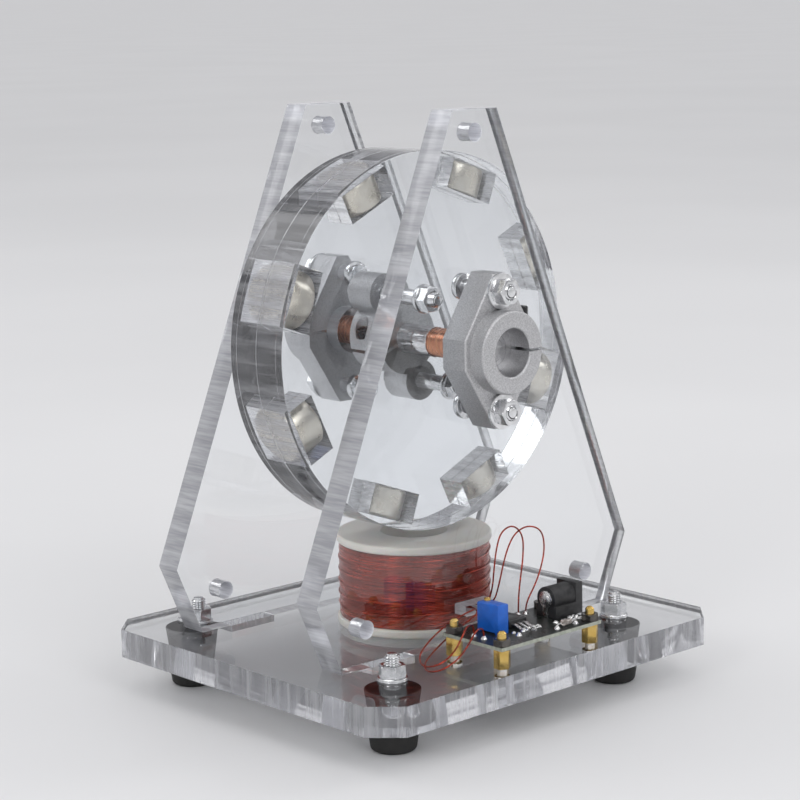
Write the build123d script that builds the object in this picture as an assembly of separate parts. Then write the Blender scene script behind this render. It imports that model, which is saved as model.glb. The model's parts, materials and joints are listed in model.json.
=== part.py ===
from build123d import *
import math
import os

# Demonstration electric motor: a clear wheel with eight magnets spins in a clear stand, above one coil
# that a small circuit board pulses. Millimetres, +Z up. The origin is on the surface that the feet rest
# on, below the middle of the base. The shaft runs along Y, with the circuit board at the front, -Y.

# ---- base and feet
base_width = 160.0
base_depth = 145.0
base_thickness = 10.0
base_corner = 9.5
foot_height = 13.0
foot_top_radius = 9.3
foot_bottom_radius = 7.4
foot_edge = 0.8
foot_recess_radius = 5.2
foot_web = 2.4
foot_bolt_tail = 3.7
foot_left_inset = 25.5
foot_right_inset = 29.5
foot_before_frame = 14.7
foot_behind_frame = 6.9

# ---- fasteners: M5 for feet, supports and hub, M3 for the board and the clamps
m5_radius = 2.5
m5_hole_radius = 2.65
m5_head_radius = 4.6
m5_head_height = 3.3
m5_head_edge = 1.2
m5_nut_flats = 8.0
m5_nut_height = 4.0
m5_washer_radius = 5.0
m5_washer_height = 1.0
m5_tail = 2.4
m3_radius = 1.5
m3_hole_radius = 1.65
m3_head_radius = 2.75
m3_head_height = 3.0
m3_socket_flats = 2.5
m3_socket_depth = 1.6
m3_nut_flats = 5.5
m3_nut_height = 2.4
nut_corner_cut = 0.35
nut_countersink = 0.4

# ---- frames
frame_thickness = 10.0
frame_inner_front_y = -23.7
frame_above_axis = 78.9
frame_top_half = 10.2
frame_knee_half = 73.0
frame_knee_height = 23.9
frame_foot_half = 62.8
tab_inner = 31.0
tab_outer = 50.0
tab_clearance = 0.1
tie_hole_radius = 3.0
tie_hole_below_top = 7.6
tie_hole_side = 52.0
tie_hole_height = 13.0
frame_bore_radius = 8.0
wire_slot_width = 14.0
wire_slot_height = 3.4
wire_slot_above_base = 8.4

# ---- coil on the base
bobbin_radius = 26.9
bobbin_bore_radius = 11.5
bobbin_tube_wall = 2.0
bobbin_flange = 3.0
winding_height = 26.0
bobbin_edge = 0.5
wire_diameter = 0.6
wire_sides = 6
wire_bend = 0.8
winding_turns = 22
winding_below_rim = 0.9
core_clearance = 0.05
coil_to_frame = 0.4
coil_to_rotor = 2.7

# ---- rotor
rotor_radius = 64.5
cover_thickness = 3.0
layer_thickness = 10.0
magnet_count = 8
magnet_first_angle = -25.0
magnet_radius = 9.95
magnet_thickness = 10.0
magnet_edge = 0.5
pocket_side_clearance = 0.55
pocket_face_clearance = 0.3
pocket_rim = 2.7
hub_bolt_angle = -21.0
hub_bolt_circle_radius = 16.5
rotor_bore_clearance = 0.1

# ---- shaft, sleeves and hub
shaft_radius = 4.0
shaft_end_past_bearing = 0.4
sleeve_wall = 1.0
hub_length = 11.0
hub_radius = 12.6
hub_ear_radius = 7.0
hub_slit = 1.2
hub_screw_offset = 9.6
hub_screw_seat = 4.5
hub_screw_reach = 7.0
hub_screw_head_radius = 2.5
hub_screw_spot_radius = 2.9
hub_to_frame_bolts = 3.9

# ---- shaft supports: clamping housings with a flange
support_flange_height = 51.6
support_flange_width = 32.0
support_flange_side_flat = 9.9
support_flange_end_flat = 5.4
support_flange_thickness = 10.6
support_boss_radius = 14.0
support_boss_length = 6.0
support_bolt_offset = 20.0
support_bolt_tail = 0.5
support_washer_radius = 6.0
support_washer_height = 1.2
support_edge = 0.4
support_boss_edge = 0.6
support_mouth_edge = 0.5
support_slit = 1.0
clamp_screw_x = 12.3
clamp_screw_depth = 7.6
clamp_screw_seat = 10.4
clamp_screw_reach = 6.5
clamp_seat_clearance = 0.15

# ---- ball bearings, 8 x 16 x 5
bearing_width = 5.0
bearing_recess = 8.8
bearing_pitch_radius = 6.0
bearing_outer_beyond_pitch = 2.0
bearing_ball_radius = 0.8
bearing_ball_count = 9
bearing_ball_play = 0.05
bearing_shoulder = 0.65
bearing_shield_thickness = 0.3
bearing_shield_play = 0.1
cage_half_width = 1.15
cage_half_wall = 0.4
cage_pocket_play = 0.1

# ---- circuit board
board_left_x = -23.8
board_right_x = 23.4
board_set_back = 5.2
board_depth = 27.5
board_thickness = 1.2
standoff_flats = 5.0
standoff_turn = 30.0
standoff_height = 6.3
standoff_thread_depth = 4.5
standoff_inset = 2.7
board_nut_turn = -13.0
stud_above_nut = 2.5
stud_end_edge = 0.8
under_screw_head_height = 1.8

# ---- parts on the board
trimmer_width = 4.8
trimmer_length = 9.6
trimmer_height = 10.0
trimmer_from_left = 12.1
trimmer_from_front = 16.2
trimmer_edge = 0.3
trimmer_foot_height = 0.6
trimmer_foot_size = 1.4
trimmer_screw_radius = 1.1
trimmer_screw_play = 0.05
trimmer_screw_depth = 2.9
trimmer_screw_proud = 0.8
trimmer_screw_inset_x = 1.5
trimmer_screw_inset_y = 1.5
trimmer_screw_slot = 0.4

jack_length = 14.0
jack_width = 9.0
jack_height = 11.0
jack_rear_from_right = 11.0
jack_from_front = 15.4
jack_axis_height = 6.4
jack_barrel_radius = 4.2
jack_mouth_length = 3.6
jack_bore_radius = 3.15
jack_bore_depth = 9.5
jack_edge = 0.4
jack_pin_radius = 1.0
jack_pin_setback = 0.8
jack_rivet_radius = 2.9
jack_rivet_thickness = 0.5
jack_tail_width = 2.4

transistor_from_left = 22.0
transistor_rear_inset = 2.1
transistor_width = 8.0
transistor_length = 11.0
transistor_thickness = 2.9
transistor_hole_radius = 1.6
transistor_hole_inset = 3.6
transistor_lead_pitch = 2.3
transistor_lead_width = 0.75
transistor_lead_thickness = 0.5
transistor_lead_height = 1.6
transistor_lead_reach = 4.3

diode_from_left = 33.8
diode_from_front = 3.4
diode_height = 1.4
diode_radius = 1.0
diode_length = 4.4
diode_lead_radius = 0.25
diode_lead_span = 9.0
diode_lead_bend = 0.8

solder_radius = 1.15
solder_top_radius = 0.45
solder_height = 1.0
solder_from_corner = [
    (36.5, 7.5), (43.6, 8.2), (14.8, 6.9), (8.0, 7.4), (4.2, 17.1), (3.9, 12.2), (32.4, 24.3), (35.6, 23.9),
]

# ---- coil leads, enamelled wire; each list is the route, from the coil to its pad on the board
lead_diameter = 0.55
lead_routes = [
    [
        (-3.0, -22.4, 33.2), (-3.0, -30.0, 33.2), (-4.2, -36.2, 34.2), (-10.3, -36.8, 33.8),
        (-19.8, -37.4, 31.9), (-30.5, -40.0, 29.0), (-39.6, -44.6, 26.6), (-43.2, -50.6, 25.0),
        (-41.7, -56.3, 26.3), (-34.6, -56.1, 28.9), (-28.1, -53.4, 32.5), (-24.0, -51.3, 34.9),
        (-20.4, -50.2, 34.5), (-19.6, -50.2, 32.9), (-19.6, -50.2, 31.5),
    ],
    [
        (-1.2, -22.5, 33.2), (-1.2, -29.4, 33.2), (-2.8, -36.0, 32.8), (-9.3, -36.8, 30.7),
        (-18.0, -37.6, 28.1), (-28.8, -40.6, 25.4), (-40.2, -47.6, 24.6), (-44.8, -54.6, 24.4),
        (-43.9, -60.7, 26.3), (-36.9, -61.2, 28.9), (-29.7, -58.6, 32.1), (-25.0, -56.7, 34.7),
        (-21.0, -55.3, 34.5), (-19.9, -55.1, 32.9), (-19.9, -55.1, 31.5),
    ],
    [
        (1.4, -22.5, 33.2), (1.4, -28.8, 33.2), (1.6, -35.4, 34.0), (2.2, -37.2, 40.2),
        (2.1, -38.1, 46.9), (3.0, -38.3, 53.5), (5.2, -38.4, 59.4), (10.9, -38.6, 61.0),
        (15.4, -38.9, 56.7), (14.0, -40.3, 49.9), (11.4, -41.5, 43.1), (9.4, -42.5, 37.7),
        (8.6, -43.0, 32.9), (8.6, -43.0, 31.5),
    ],
    [
        (3.8, -22.3, 33.2), (3.8, -28.6, 33.2), (4.4, -35.4, 34.0), (5.2, -37.2, 40.4),
        (6.4, -38.0, 47.1), (8.6, -38.2, 53.2), (12.1, -38.3, 57.8), (18.2, -38.6, 59.5),
        (24.4, -39.1, 56.9), (24.4, -40.5, 50.9), (21.3, -41.7, 44.7), (17.1, -42.7, 39.3),
        (13.4, -43.2, 35.7), (11.8, -43.4, 32.9), (11.8, -43.4, 31.5),
    ],
]

# ---- places that follow from the sizes above
base_top = foot_height + base_thickness
bobbin_height = 2 * bobbin_flange + winding_height
rotor_thickness = 2 * (cover_thickness + layer_thickness)
axis_z = base_top + bobbin_height + coil_to_rotor + rotor_radius
coil_y = frame_inner_front_y + coil_to_frame + bobbin_radius
rotor_front_y = coil_y - rotor_thickness / 2
rotor_rear_y = coil_y + rotor_thickness / 2
hub_rear_y = rotor_rear_y + hub_length
hub_head_y = hub_rear_y + m5_washer_height + m5_head_height
frame_outer_front_y = frame_inner_front_y - frame_thickness
frame_inner_rear_y = hub_head_y + hub_to_frame_bolts + m5_head_height
frame_outer_rear_y = frame_inner_rear_y + frame_thickness
frame_top = axis_z + frame_above_axis
foot_places = [
    (x, y)
    for x in (foot_left_inset - base_width / 2, base_width / 2 - foot_right_inset)
    for y in (frame_outer_front_y - foot_before_frame, frame_outer_rear_y + foot_behind_frame)
]
support_depth = support_flange_thickness + support_boss_length
bearing_outer_radius = bearing_pitch_radius + bearing_outer_beyond_pitch
bearing_front_y = frame_outer_front_y - support_depth + bearing_recess
bearing_rear_y = frame_outer_rear_y + support_depth - bearing_recess
bearing_middles = [bearing_front_y + bearing_width / 2, bearing_rear_y - bearing_width / 2]
sleeve_radius = shaft_radius + sleeve_wall
rotor_bore_radius = sleeve_radius + rotor_bore_clearance
pocket_length = 2 * layer_thickness
pocket_width = 2 * (magnet_radius + pocket_side_clearance)
pocket_depth = magnet_thickness + 2 * pocket_face_clearance
pocket_middle_radius = rotor_radius - pocket_rim - pocket_depth / 2
magnet_angles = [magnet_first_angle + 360 / magnet_count * i for i in range(magnet_count)]
board_front_y = board_set_back - base_depth / 2
board_rear_y = board_front_y + board_depth
board_bottom = base_top + standoff_height
board_top = board_bottom + board_thickness
standoff_places = [
    (x, y)
    for x in (board_left_x + standoff_inset, board_right_x - standoff_inset)
    for y in (board_front_y + standoff_inset, board_rear_y - standoff_inset)
]
trimmer_x = board_left_x + trimmer_from_left
trimmer_y = board_front_y + trimmer_from_front
trimmer_screw_x = trimmer_x + trimmer_width / 2 - trimmer_screw_inset_x
trimmer_screw_y = trimmer_y + trimmer_length / 2 - trimmer_screw_inset_y
trimmer_top = board_top + trimmer_height
jack_axis_z = board_top + jack_axis_height
jack_rear_x = board_right_x - jack_rear_from_right
jack_y = board_front_y + jack_from_front
jack_mouth_x = jack_rear_x + jack_length
transistor_x = board_left_x + transistor_from_left
transistor_rear_y = board_rear_y - transistor_rear_inset
transistor_front_y = transistor_rear_y - transistor_length
transistor_lead_y = transistor_front_y - transistor_lead_reach
transistor_lead_places = [transistor_x + transistor_lead_pitch * i for i in (-1, 0, 1)]
diode_x = board_left_x + diode_from_left
diode_y = board_front_y + diode_from_front
diode_lead_places = [diode_x - diode_lead_span / 2, diode_x + diode_lead_span / 2]


# ---- helpers
def rod_x(radius, start, end, y=0.0, z=0.0):
    """Round bar along X."""
    return Pos((start + end) / 2, y, z) * Rot(0, 90, 0) * Cylinder(radius, abs(end - start))


def rod_y(radius, start, end, x=0.0, z=0.0):
    """Round bar along Y."""
    return Pos(x, (start + end) / 2, z) * Rot(90, 0, 0) * Cylinder(radius, abs(end - start))


def rod_z(radius, start, end, x=0.0, y=0.0):
    """Upright round bar."""
    return Pos(x, y, (start + end) / 2) * Cylinder(radius, abs(end - start))


def block(x, y, z):
    """Box between two limits on each axis."""
    size = [high - low for low, high in (x, y, z)]
    middle = [(high + low) / 2 for low, high in (x, y, z)]
    return Pos(*middle) * Box(*size)


def plate(outline, rear_y, thickness):
    """Upright plate: the outline's own X and Y become X and Z, and it grows forward from rear_y."""
    back = Plane(origin=(0, rear_y, 0), x_dir=(1, 0, 0), z_dir=(0, -1, 0))
    return extrude(back * outline, amount=thickness)


def clock_place(angle, radius):
    """Place in an upright plate, with the angle taken clockwise from straight up, seen from the front."""
    turn = math.radians(angle)
    return radius * math.sin(turn), radius * math.cos(turn)


def nut(flats, height, hole_radius):
    """Hexagon nut that stands on z = 0, with its corners turned off at both faces."""
    corner_radius = flats / math.sqrt(3)
    body = extrude(RegularPolygon(corner_radius, 6), amount=height)
    turned = Pos(0, 0, height / 2) * Cylinder(corner_radius, height)
    turned = chamfer(turned.edges().filter_by(GeomType.CIRCLE), nut_corner_cut)
    sink = Cone(hole_radius + nut_countersink, hole_radius, nut_countersink)
    body = (body & turned) - rod_z(hole_radius, 0, height)
    body -= Pos(0, 0, nut_countersink / 2) * sink
    return body - Pos(0, 0, height - nut_countersink / 2) * Rot(180, 0, 0) * sink


def washer(outer_radius, hole_radius, height):
    """Flat ring that stands on z = 0."""
    return rod_z(outer_radius, 0, height) - rod_z(hole_radius, 0, height)


def round_head_bolt(length):
    """M5 bolt with a low round head, bevelled, above z = 0 and its thread below."""
    head = rod_z(m5_head_radius, 0, m5_head_height)
    head = chamfer(head.edges().sort_by(Axis.Z)[-1], m5_head_edge)
    return head + rod_z(m5_radius, -length, 0)


def socket_screw(head_radius, length):
    """M3 screw with a socket head above z = 0 and its thread below."""
    head = rod_z(head_radius, 0, m3_head_height)
    head = chamfer(head.edges().sort_by(Axis.Z)[-1], nut_corner_cut)
    socket = extrude(RegularPolygon(m3_socket_flats / math.sqrt(3), 6), amount=m3_socket_depth)
    return head + rod_z(m3_radius, -length, 0) - Pos(0, 0, m3_head_height - m3_socket_depth) * socket


def write(name, *pieces):
    """Write one node, as its separate solids."""
    solids = [solid for piece in pieces for solid in piece.solids()]
    shape = solids[0] if len(solids) == 1 else Compound(solids)
    export_step(shape, f"parts/{name}.step")


# ---- base and feet
def base_plate():
    """Clear base with the slots for the frames' tabs and the holes for feet and board."""
    plan = Rectangle(base_width, base_depth)
    plan = chamfer(plan.vertices(), base_corner)
    base = Pos(0, 0, foot_height) * extrude(plan, amount=base_thickness)
    slot_length = tab_outer - tab_inner + 2 * tab_clearance
    slot_width = frame_thickness + 2 * tab_clearance
    for side in (-1, 1):
        for frame_y in (frame_inner_front_y - frame_thickness / 2, frame_inner_rear_y + frame_thickness / 2):
            slot_x = side * (tab_inner + tab_outer) / 2
            middle_z = foot_height + base_thickness / 2
            base -= Pos(slot_x, frame_y, middle_z) * Box(slot_length, slot_width, base_thickness)
    for x, y in foot_places:
        base -= rod_z(m5_hole_radius, foot_height, base_top, x, y)
    for x, y in standoff_places:
        base -= rod_z(m3_hole_radius, foot_height, base_top, x, y)
    return base


def rubber_foot():
    """Tapered foot, with the bolt head deep in its recess."""
    foot = Pos(0, 0, foot_height / 2) * Cone(foot_bottom_radius, foot_top_radius, foot_height)
    foot = chamfer(foot.edges().sort_by(Axis.Z)[0], foot_edge)
    foot -= rod_z(foot_recess_radius, 0, foot_height - foot_web)
    return foot - rod_z(m5_hole_radius, 0, foot_height)


def foot_bolt():
    """Bolt that holds one foot, head down."""
    length = foot_web + base_thickness + m5_washer_height + m5_nut_height + foot_bolt_tail
    return Pos(0, 0, foot_height - foot_web) * Rot(180, 0, 0) * round_head_bolt(length)


# ---- frames
def frame_outline():
    """Outline of both frames, with two tabs below, from the base's top face up."""
    height = frame_top - base_top
    right_side = [
        (tab_inner, 0),
        (tab_inner, -base_thickness),
        (tab_outer, -base_thickness),
        (tab_outer, 0),
        (frame_foot_half, 0),
        (frame_knee_half, frame_knee_height),
        (frame_top_half, height),
    ]
    left_side = [(-x, z) for x, z in reversed(right_side)]
    outline = make_face(Polyline(*right_side, *left_side, close=True))
    outline -= Pos(0, height - tie_hole_below_top) * Circle(tie_hole_radius)
    for side in (-1, 1):
        outline -= Pos(side * tie_hole_side, tie_hole_height) * Circle(tie_hole_radius)
        outline -= Pos(0, axis_z - base_top + side * support_bolt_offset) * Circle(m5_hole_radius)
    return outline - Pos(0, axis_z - base_top) * Circle(frame_bore_radius)


def frame(inner_y, outward, with_wire_slot):
    """One clear upright; the front one lets the coil's leads through."""
    outline = frame_outline()
    if with_wire_slot:
        slot_z = wire_slot_above_base + wire_slot_height / 2
        outline -= Pos(0, slot_z) * Rectangle(wire_slot_width, wire_slot_height)
    rear_y = max(inner_y, inner_y + outward * frame_thickness)
    return plate(Pos(0, base_top) * outline, rear_y, frame_thickness)


# ---- shaft supports; each is built with its mating face at y = 0, its axis at z = 0, facing forward
def flange_outline():
    """Long hexagon-like outline of the support's flange."""
    x = support_flange_width / 2
    z = support_flange_height / 2
    side = support_flange_side_flat / 2
    end = support_flange_end_flat / 2
    corners = [(x, side), (end, z), (-end, z), (-x, side), (-x, -side), (-end, -z), (end, -z), (x, -side)]
    return make_face(Polyline(*corners, close=True))


def support():
    """Clamping shaft support: thick flange and round boss, bored, and slit on the clamp screw's side."""
    flange = plate(flange_outline(), 0, support_flange_thickness)
    flange = chamfer(flange.faces().sort_by(Axis.Y)[0].edges(), support_edge)
    boss = rod_y(support_boss_radius, -support_flange_thickness, -support_depth)
    boss = chamfer(boss.faces().sort_by(Axis.Y)[0].edges(), support_boss_edge)
    body = flange + boss
    body -= rod_y(bearing_outer_radius, 0, -support_depth)
    mouth = body.faces().sort_by(Axis.Y)[0].inner_wires()[0].edges()
    body = chamfer(mouth, support_mouth_edge)
    side_x = support_flange_width / 2
    body -= block((0, side_x), (-support_depth, 0), (-support_slit / 2, support_slit / 2))
    for side in (-1, 1):
        body -= rod_y(m5_hole_radius, 0, -support_flange_thickness, z=side * support_bolt_offset)
    seat_radius = m3_head_radius + clamp_seat_clearance
    top = support_flange_height / 2
    body -= rod_z(seat_radius, clamp_screw_seat, top, clamp_screw_x, -clamp_screw_depth)
    return body - rod_z(m3_radius, -clamp_screw_reach, clamp_screw_seat, clamp_screw_x, -clamp_screw_depth)


def support_places():
    """The two supports' places: the rear one is turned half round about Z."""
    front = Pos(0, frame_outer_front_y, axis_z)
    rear = Pos(0, frame_outer_rear_y, axis_z) * Rot(0, 0, 180)
    return [front, rear]


def clamp_screw():
    """Screw that closes a support's slit."""
    length = clamp_screw_seat + clamp_screw_reach
    return Pos(clamp_screw_x, -clamp_screw_depth, clamp_screw_seat) * socket_screw(m3_head_radius, length)


def support_fasteners(kind):
    """Bolts, washers or nuts of both supports: heads inside the frames, nuts outside."""
    length = frame_thickness + support_flange_thickness + support_washer_height
    length += m5_nut_height + support_bolt_tail
    pieces = []
    for place in support_places():
        for side in (-1, 1):
            spot = place * Pos(0, 0, side * support_bolt_offset) * Rot(90, 0, 0)
            if kind == "bolt":
                pieces.append(spot * Pos(0, 0, -frame_thickness) * Rot(180, 0, 0) * round_head_bolt(length))
            if kind == "washer":
                seat = spot * Pos(0, 0, support_flange_thickness)
                pieces.append(seat * washer(support_washer_radius, m5_hole_radius, support_washer_height))
            if kind == "nut":
                seat = spot * Pos(0, 0, support_flange_thickness + support_washer_height)
                pieces.append(seat * nut(m5_nut_flats, m5_nut_height, m5_radius))
    return pieces


# ---- bearings; each is built around y = 0
def bearing_place(middle_y):
    """Place of a bearing on the shaft."""
    return Pos(0, middle_y, axis_z)


def ball_groove():
    """The ring-shaped space that the balls run in."""
    return Rot(90, 0, 0) * Torus(bearing_pitch_radius, bearing_ball_radius + bearing_ball_play)


def bearing_outer_ring():
    """Ring held in the support."""
    half = bearing_width / 2
    ring = rod_y(bearing_outer_radius, -half, half)
    ring -= rod_y(bearing_pitch_radius + bearing_shoulder, -half, half)
    return ring - ball_groove()


def bearing_inner_ring():
    """Ring that turns with the shaft."""
    half = bearing_width / 2
    ring = rod_y(bearing_pitch_radius - bearing_shoulder, -half, half)
    ring -= rod_y(shaft_radius, -half, half)
    return ring - ball_groove()


def bearing_shields():
    """Two thin covers, fixed in the outer ring."""
    half = bearing_width / 2
    covers = []
    for side in (-1, 1):
        inner_y = side * (half - bearing_shield_thickness)
        cover = rod_y(bearing_pitch_radius + bearing_shoulder, side * half, inner_y)
        cover -= rod_y(bearing_pitch_radius - bearing_shoulder + bearing_shield_play, side * half, inner_y)
        covers.append(cover)
    return covers


def ball_angles():
    """Evenly spaced places of the balls."""
    return [360 / bearing_ball_count * i for i in range(bearing_ball_count)]


def bearing_balls():
    """Balls of one bearing."""
    ball = Pos(0, 0, bearing_pitch_radius) * Sphere(bearing_ball_radius)
    return [Rot(0, angle, 0) * ball for angle in ball_angles()]


def bearing_cage():
    """Ring that keeps the balls apart."""
    cage = rod_y(bearing_pitch_radius + cage_half_wall, -cage_half_width, cage_half_width)
    cage -= rod_y(bearing_pitch_radius - cage_half_wall, -cage_half_width, cage_half_width)
    pocket = rod_z(bearing_ball_radius + cage_pocket_play, 0, bearing_outer_radius)
    for angle in ball_angles():
        cage -= Rot(0, angle, 0) * pocket
    return cage


# ---- rotor
def rotor_disc(front_y, thickness, with_pockets):
    """One of the four clear discs; the middle two have the magnets' pockets."""
    disc = Circle(rotor_radius) - Circle(rotor_bore_radius)
    for angle in (hub_bolt_angle, hub_bolt_angle + 180):
        disc -= Pos(*clock_place(angle, hub_bolt_circle_radius)) * Circle(m5_hole_radius)
    if with_pockets:
        for angle in magnet_angles:
            pocket = Rectangle(pocket_width, pocket_depth)
            disc -= Pos(*clock_place(angle, pocket_middle_radius)) * Rot(0, 0, -angle) * pocket
    return plate(Pos(0, axis_z) * disc, front_y + thickness, thickness)


def magnets():
    """Round magnets that lie in the pockets, with their axes along the radius."""
    magnet = Cylinder(magnet_radius, magnet_thickness)
    magnet = chamfer(magnet.edges().filter_by(GeomType.CIRCLE), magnet_edge)
    place = Pos(0, coil_y, axis_z)
    return [place * Rot(0, angle, 0) * Pos(0, 0, pocket_middle_radius) * magnet for angle in magnet_angles]


def hub():
    """Clamping hub on the wheel's rear face: round body, two ears and a slit."""
    outline = Circle(hub_radius)
    for angle in (hub_bolt_angle, hub_bolt_angle + 180):
        outline += Pos(*clock_place(angle, hub_bolt_circle_radius)) * Circle(hub_ear_radius)
    for angle in (hub_bolt_angle, hub_bolt_angle + 180):
        outline -= Pos(*clock_place(angle, hub_bolt_circle_radius)) * Circle(m5_hole_radius)
    outline -= Circle(shaft_radius)
    slit_angle = hub_bolt_angle - 90
    outline -= Rot(0, 0, -slit_angle) * Pos(0, hub_radius / 2) * Rectangle(hub_slit, hub_radius + hub_slit)
    body = plate(Pos(0, axis_z) * outline, hub_rear_y, hub_length)
    screw_line = hub_screw_place()
    body -= screw_line * rod_z(m3_radius, -hub_screw_reach, hub_screw_seat)
    return body - screw_line * rod_z(hub_screw_spot_radius, hub_screw_seat, hub_radius)


def hub_screw_place():
    """Line of the clamp screw: across the slit, along the line through both ears."""
    middle_y = rotor_rear_y + hub_length / 2
    return Pos(0, middle_y, axis_z) * Rot(0, hub_bolt_angle, 0) * Pos(-hub_screw_offset, 0, 0)


def hub_screw():
    """Screw that clamps the hub on the shaft."""
    screw = socket_screw(hub_screw_head_radius, hub_screw_seat + hub_screw_reach)
    return hub_screw_place() * Pos(0, 0, hub_screw_seat) * screw


def hub_fasteners(kind):
    """Bolts, washers or nuts that hold the wheel on its hub: heads at the rear, nuts in front."""
    grip = hub_length + rotor_thickness + 2 * m5_washer_height + m5_nut_height
    pieces = []
    for angle in (hub_bolt_angle, hub_bolt_angle + 180):
        x, z = clock_place(angle, hub_bolt_circle_radius)
        rear = Pos(x, hub_rear_y, axis_z + z) * Rot(-90, 0, 0)
        front = Pos(x, rotor_front_y, axis_z + z) * Rot(90, 0, 0)
        if kind == "bolt":
            pieces.append(rear * Pos(0, 0, m5_washer_height) * round_head_bolt(grip + m5_tail))
        if kind == "washer":
            pieces.append(rear * washer(m5_washer_radius, m5_hole_radius, m5_washer_height))
            pieces.append(front * washer(m5_washer_radius, m5_hole_radius, m5_washer_height))
        if kind == "nut":
            pieces.append(front * Pos(0, 0, m5_washer_height) * nut(m5_nut_flats, m5_nut_height, m5_radius))
    return pieces


def shaft():
    """Steel shaft through both bearings, with chamfered ends."""
    start = bearing_front_y - shaft_end_past_bearing
    end = bearing_rear_y + shaft_end_past_bearing
    bar = rod_y(shaft_radius, start, end, z=axis_z)
    return chamfer(bar.edges().filter_by(GeomType.CIRCLE), shaft_end_past_bearing)


def sleeve(start, end):
    """Copper tube on the shaft that keeps wheel and bearing apart."""
    return rod_y(sleeve_radius, start, end, z=axis_z) - rod_y(shaft_radius, start, end, z=axis_z)


# ---- coil
def bobbin():
    """Spool with two flanges, turned about its upright axis."""
    tube_radius = bobbin_bore_radius + bobbin_tube_wall
    tube = rod_z(tube_radius, 0, bobbin_height)
    lower = rod_z(bobbin_radius, 0, bobbin_flange)
    upper = rod_z(bobbin_radius, bobbin_height - bobbin_flange, bobbin_height)
    lower = chamfer(lower.edges().filter_by(GeomType.CIRCLE), bobbin_edge)
    upper = chamfer(upper.edges().filter_by(GeomType.CIRCLE), bobbin_edge)
    spool = lower + tube + upper
    return Pos(0, coil_y, base_top) * (spool - rod_z(bobbin_bore_radius, 0, bobbin_height))


def winding_radius():
    """Radius of the outer layer's wire, at its middle."""
    return bobbin_radius - winding_below_rim


def winding_core():
    """The inner layers, as one plain body between the flanges."""
    outer = winding_radius() - wire_diameter / 2 - core_clearance
    inner = bobbin_bore_radius + bobbin_tube_wall
    low = base_top + bobbin_flange
    high = low + winding_height
    return rod_z(outer, low, high, y=coil_y) - rod_z(inner, low, high, y=coil_y)


def winding_point(turn, low, pitch):
    """Place and direction of the outer layer's wire after a number of turns, from the rear."""
    angle = 2 * math.pi * turn + math.pi / 2
    radius = winding_radius()
    point = Vector(radius * math.cos(angle), coil_y + radius * math.sin(angle), low + pitch * turn)
    direction = Vector(-radius * math.sin(angle), radius * math.cos(angle), pitch / (2 * math.pi))
    return point, direction.normalized()


def biarc(start, start_direction, end, end_direction):
    """Two arcs that join two points and keep both directions."""
    across = end - start
    both = start_direction + end_direction
    square = 2 * (1 - start_direction.dot(end_direction))
    reach = -across.dot(both) + math.sqrt(across.dot(both) ** 2 + square * across.dot(across))
    reach = reach / square
    first = start + start_direction * reach
    second = end - end_direction * reach
    middle = (first + second) * 0.5
    middle_direction = (second - first).normalized()
    return [
        TangentArc(start, middle, tangent=start_direction),
        TangentArc(middle, end, tangent=middle_direction),
    ]


def winding_path():
    """Route of the outer layer: out of the lower flange, half turns upward, into the upper flange."""
    end_rise = wire_diameter + wire_bend
    low = base_top + bobbin_flange + end_rise
    high = base_top + bobbin_flange + winding_height - end_rise
    pitch = (high - low) / winding_turns
    up = Vector(0, 0, 1)
    first, first_direction = winding_point(0, low, pitch)
    level = Vector(first_direction.X, first_direction.Y, 0).normalized()
    foot = first - level * wire_bend - up * wire_bend
    edges = [Line(foot - up * wire_diameter, foot)]
    edges += biarc(foot, up, first, first_direction)
    for half_turn in range(2 * winding_turns):
        start, start_direction = winding_point(half_turn / 2, low, pitch)
        end, end_direction = winding_point((half_turn + 1) / 2, low, pitch)
        edges += biarc(start, start_direction, end, end_direction)
    last, last_direction = winding_point(winding_turns, low, pitch)
    level = Vector(last_direction.X, last_direction.Y, 0).normalized()
    head = last + level * wire_bend + up * wire_bend
    edges += biarc(last, last_direction, head, up)
    edges.append(Line(head, head + up * wire_diameter))
    return edges


def print_winding_gap(edges):
    """Least gap between neighbouring turns, measured on points of the route."""
    steps = 8
    points = [edge.position_at(step / steps) for edge in edges for step in range(steps)]
    one_turn = 4 * steps
    least = min(
        (points[j] - points[i]).length
        for i in range(len(points))
        for j in range(i + one_turn // 2, min(i + 3 * one_turn // 2, len(points)))
    )
    print("winding: least gap to itself", round(least - wire_diameter, 3), "mm")


def winding():
    """Outer layer of enamelled wire, one unbroken tube."""
    edges = winding_path()
    print_winding_gap(edges)
    path = Wire(edges)
    start = Plane(origin=path.position_at(0), z_dir=(0, 0, 1))
    section = RegularPolygon(wire_diameter / 2, wire_sides)
    tube = sweep(start * section, path=path)
    expected = section.area * path.length
    print("winding: volume over section x length", round(tube.volume / expected, 4))
    return tube


# ---- circuit board
def circuit_board():
    """Board on its four standoffs, with the studs' holes."""
    board = block((board_left_x, board_right_x), (board_front_y, board_rear_y), (board_bottom, board_top))
    for x, y in standoff_places:
        board -= rod_z(m3_hole_radius, board_bottom, board_top, x, y)
    return board


def standoff():
    """Hexagon spacer, threaded below, with a blunt stud above."""
    hexagon = Rot(0, 0, standoff_turn) * RegularPolygon(standoff_flats / math.sqrt(3), 6)
    body = extrude(hexagon, amount=standoff_height)
    stud_top = standoff_height + board_thickness + m3_nut_height + stud_above_nut
    stud = rod_z(m3_radius, standoff_height, stud_top)
    stud = chamfer(stud.edges().sort_by(Axis.Z)[-1], stud_end_edge)
    return body + stud - rod_z(m3_radius, 0, standoff_thread_depth)


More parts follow.
